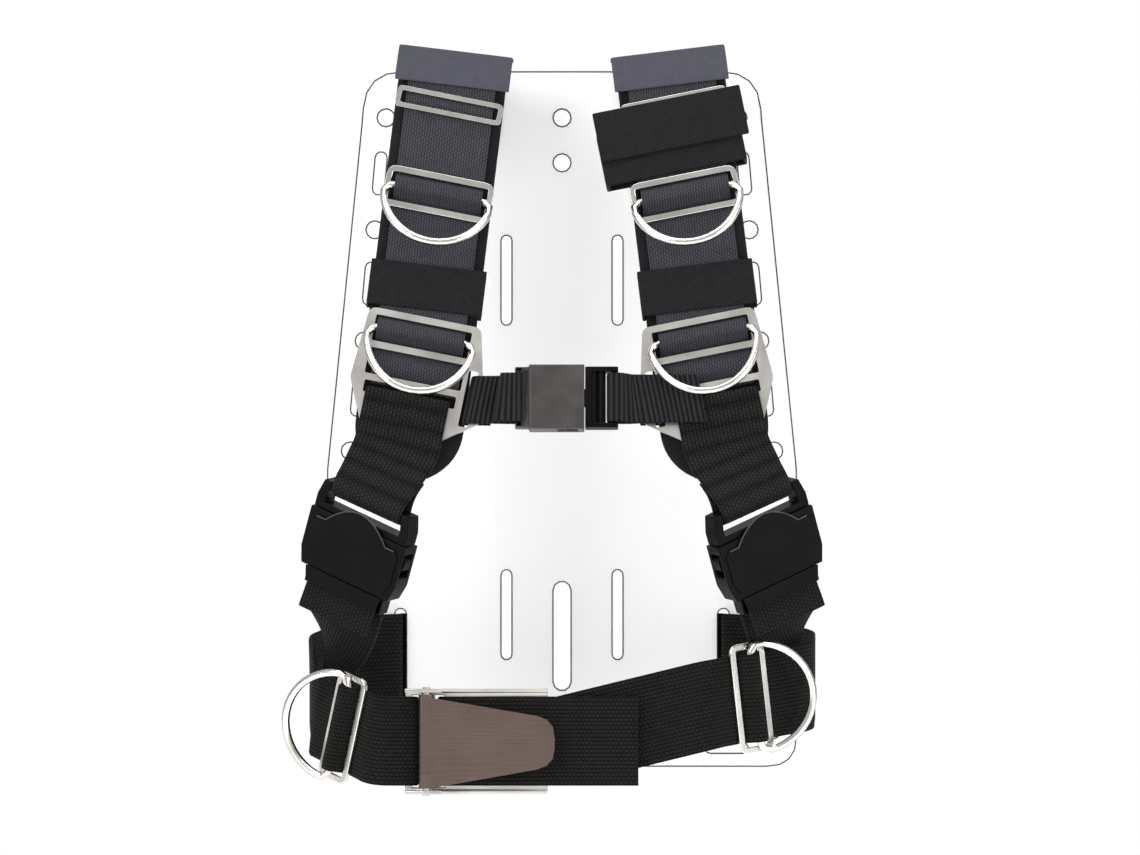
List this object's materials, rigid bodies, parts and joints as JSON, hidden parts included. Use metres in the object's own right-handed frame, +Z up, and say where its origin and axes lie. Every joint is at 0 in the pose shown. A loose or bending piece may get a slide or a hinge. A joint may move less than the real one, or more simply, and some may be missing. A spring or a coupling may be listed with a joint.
{
  "type": "diving harness and back plate",
  "caption": "Webbing diving harness on a flat slotted back plate, with padded shoulder straps, chest strap, quick-release side buckles and a cam-buckle waist belt.",
  "frame": {"origin": "middle of the back plate's back face", "axes": "+Z up the wearer's back, -Y out through the wearer's chest, +X to the right of someone facing the wearer"},
  "size_m": [0.3072, 0.1894, 0.4246],
  "materials": {
    "plate": "satin pale powder coat over steel plate, with worn dark edges",
    "webbing": "black polyamide webbing, two-inch and one-inch, ribbed weave",
    "sleeve": "dark grey woven nylon sleeve",
    "pad": "foam pad covered in black nylon cloth",
    "elastic": "wide black elastic and hook-and-loop tape",
    "polished_steel": "polished stainless rod and frames",
    "satin_steel": "satin stamped stainless plate",
    "brushed_steel": "warm brushed stainless, dulled by handling",
    "acetal": "moulded black acetal with a fine texture"
  },
  "bodies": {
    "harness": {"back_plate": "plate", "shoulder_webbing_left": "webbing", "shoulder_pad_left": "pad", "shoulder_sleeve_left": "sleeve", "elastic_band_left": "elastic", "upper_slide_left": "polished_steel", "ring_frame_left": "polished_steel", "triangle_plate_left": "satin_steel", "shoulder_tail_slide_left": "satin_steel", "drop_webbing_left": "webbing", "lower_webbing_left": "webbing", "quick_plug_left": "acetal", "quick_socket_left": "acetal", "waist_webbing_left": "webbing", "waist_ring_frame_left": "polished_steel", "waist_tail_slide_left": "satin_steel", "shoulder_webbing_right": "webbing", "shoulder_pad_right": "pad", "shoulder_sleeve_right": "sleeve", "elastic_band_right": "elastic", "upper_slide_right": "polished_steel", "ring_frame_right": "polished_steel", "triangle_plate_right": "satin_steel", "shoulder_tail_slide_right": "satin_steel", "drop_webbing_right": "webbing", "lower_webbing_right": "webbing", "quick_plug_right": "acetal", "quick_socket_right": "acetal", "waist_webbing_right": "webbing", "waist_ring_frame_right": "polished_steel", "waist_tail_slide_right": "satin_steel", "chest_webbing_left": "webbing", "chest_webbing_right": "webbing", "chest_socket": "acetal", "chest_plug": "acetal", "cam_frame": "satin_steel", "cam_pin": "satin_steel", "retainer_band": "elastic"},
    "cam_lever": {"cam_lever": "brushed_steel"},
    "chest_arm_lower": {"chest_arm_lower": "acetal"},
    "chest_arm_upper": {"chest_arm_upper": "acetal"},
    "lower_ring_left": {"lower_ring_left": "polished_steel"},
    "lower_ring_right": {"lower_ring_right": "polished_steel"},
    "quick_arm_inner_left": {"quick_arm_inner_left": "acetal"},
    "quick_arm_inner_right": {"quick_arm_inner_right": "acetal"},
    "quick_arm_outer_left": {"quick_arm_outer_left": "acetal"},
    "quick_arm_outer_right": {"quick_arm_outer_right": "acetal"},
    "retainer_flap": {"retainer_flap": "elastic"},
    "upper_ring_left": {"upper_ring_left": "polished_steel"},
    "upper_ring_right": {"upper_ring_right": "polished_steel"},
    "waist_ring_left": {"waist_ring_left": "polished_steel"},
    "waist_ring_right": {"waist_ring_right": "polished_steel"}
  },
  "joints": [
    {"name": "upper_ring_hang_left", "type": "hinge", "parent": "harness", "child": "upper_ring_left", "pos_m": [-0.06977, -0.12359, 0.12753], "axis": [-0.9805, 0.0163, 0.196], "range_deg": [0, 100]},
    {"name": "upper_ring_hang_right", "type": "hinge", "parent": "harness", "child": "upper_ring_right", "pos_m": [0.06977, -0.12359, 0.12753], "axis": [-0.9805, -0.0163, -0.196], "range_deg": [0, 100]},
    {"name": "lower_ring_hang_left", "type": "hinge", "parent": "harness", "child": "lower_ring_left", "pos_m": [-0.07877, -0.14083, 0.04691], "axis": [-0.9805, 0.0163, 0.196], "range_deg": [0, 100]},
    {"name": "lower_ring_hang_right", "type": "hinge", "parent": "harness", "child": "lower_ring_right", "pos_m": [0.07877, -0.14083, 0.04691], "axis": [-0.9805, -0.0163, -0.196], "range_deg": [0, 100]},
    {"name": "waist_ring_hang_left", "type": "hinge", "parent": "harness", "child": "waist_ring_left", "pos_m": [-0.12568, -0.14313, -0.17362], "axis": [0.2071, -0.2177, 0.9538], "range_deg": [0, 100]},
    {"name": "waist_ring_hang_right", "type": "hinge", "parent": "harness", "child": "waist_ring_right", "pos_m": [0.10889, -0.14067, -0.15698], "axis": [0.1093, 0.0771, -0.991], "range_deg": [0, 100]},
    {"name": "cam_lever_open", "type": "hinge", "parent": "harness", "child": "cam_lever", "pos_m": [-0.076, -0.162, -0.181], "axis": [0, 0, -1], "range_deg": [0, 120]},
    {"name": "retainer_flap_open", "type": "hinge", "parent": "harness", "child": "retainer_flap", "pos_m": [0.01983, -0.11457, 0.15862], "axis": [0.195, -0.2073, -0.9586], "range_deg": [0, 100]},
    {"name": "quick_arm_inner_pinch_left", "type": "hinge", "parent": "harness", "child": "quick_arm_inner_left", "pos_m": [-0.09065, -0.1682, -0.06909], "axis": [0.5414, 0.8316, 0.124], "range_deg": [0, 11], "stiffness_Nm_per_rad": 0.6},
    {"name": "quick_arm_outer_pinch_left", "type": "hinge", "parent": "harness", "child": "quick_arm_outer_left", "pos_m": [-0.13086, -0.14479, -0.05053], "axis": [-0.5414, -0.8316, -0.124], "range_deg": [0, 11], "stiffness_Nm_per_rad": 0.6},
    {"name": "quick_arm_inner_pinch_right", "type": "hinge", "parent": "harness", "child": "quick_arm_inner_right", "pos_m": [0.09065, -0.1682, -0.06909], "axis": [0.5414, -0.8316, -0.124], "range_deg": [0, 11], "stiffness_Nm_per_rad": 0.6},
    {"name": "quick_arm_outer_pinch_right", "type": "hinge", "parent": "harness", "child": "quick_arm_outer_right", "pos_m": [0.13086, -0.14479, -0.05053], "axis": [-0.5414, 0.8316, 0.124], "range_deg": [0, 11], "stiffness_Nm_per_rad": 0.6},
    {"name": "chest_arm_lower_pinch", "type": "hinge", "parent": "harness", "child": "chest_arm_lower", "pos_m": [0.01245, -0.15317, -0.00041], "axis": [0, 0.9781, -0.2079], "range_deg": [0, 11], "stiffness_Nm_per_rad": 0.6},
    {"name": "chest_arm_upper_pinch", "type": "hinge", "parent": "harness", "child": "chest_arm_upper", "pos_m": [0.01245, -0.14809, 0.02349], "axis": [0, -0.9781, 0.2079], "range_deg": [0, 11], "stiffness_Nm_per_rad": 0.6}
  ],
  "couplings": [
    {"joint": "quick_arm_outer_pinch_left", "follows": "quick_arm_inner_pinch_left", "ratio": 1},
    {"joint": "quick_arm_outer_pinch_right", "follows": "quick_arm_inner_pinch_right", "ratio": 1},
    {"joint": "chest_arm_upper_pinch", "follows": "chest_arm_lower_pinch", "ratio": 1}
  ]
}
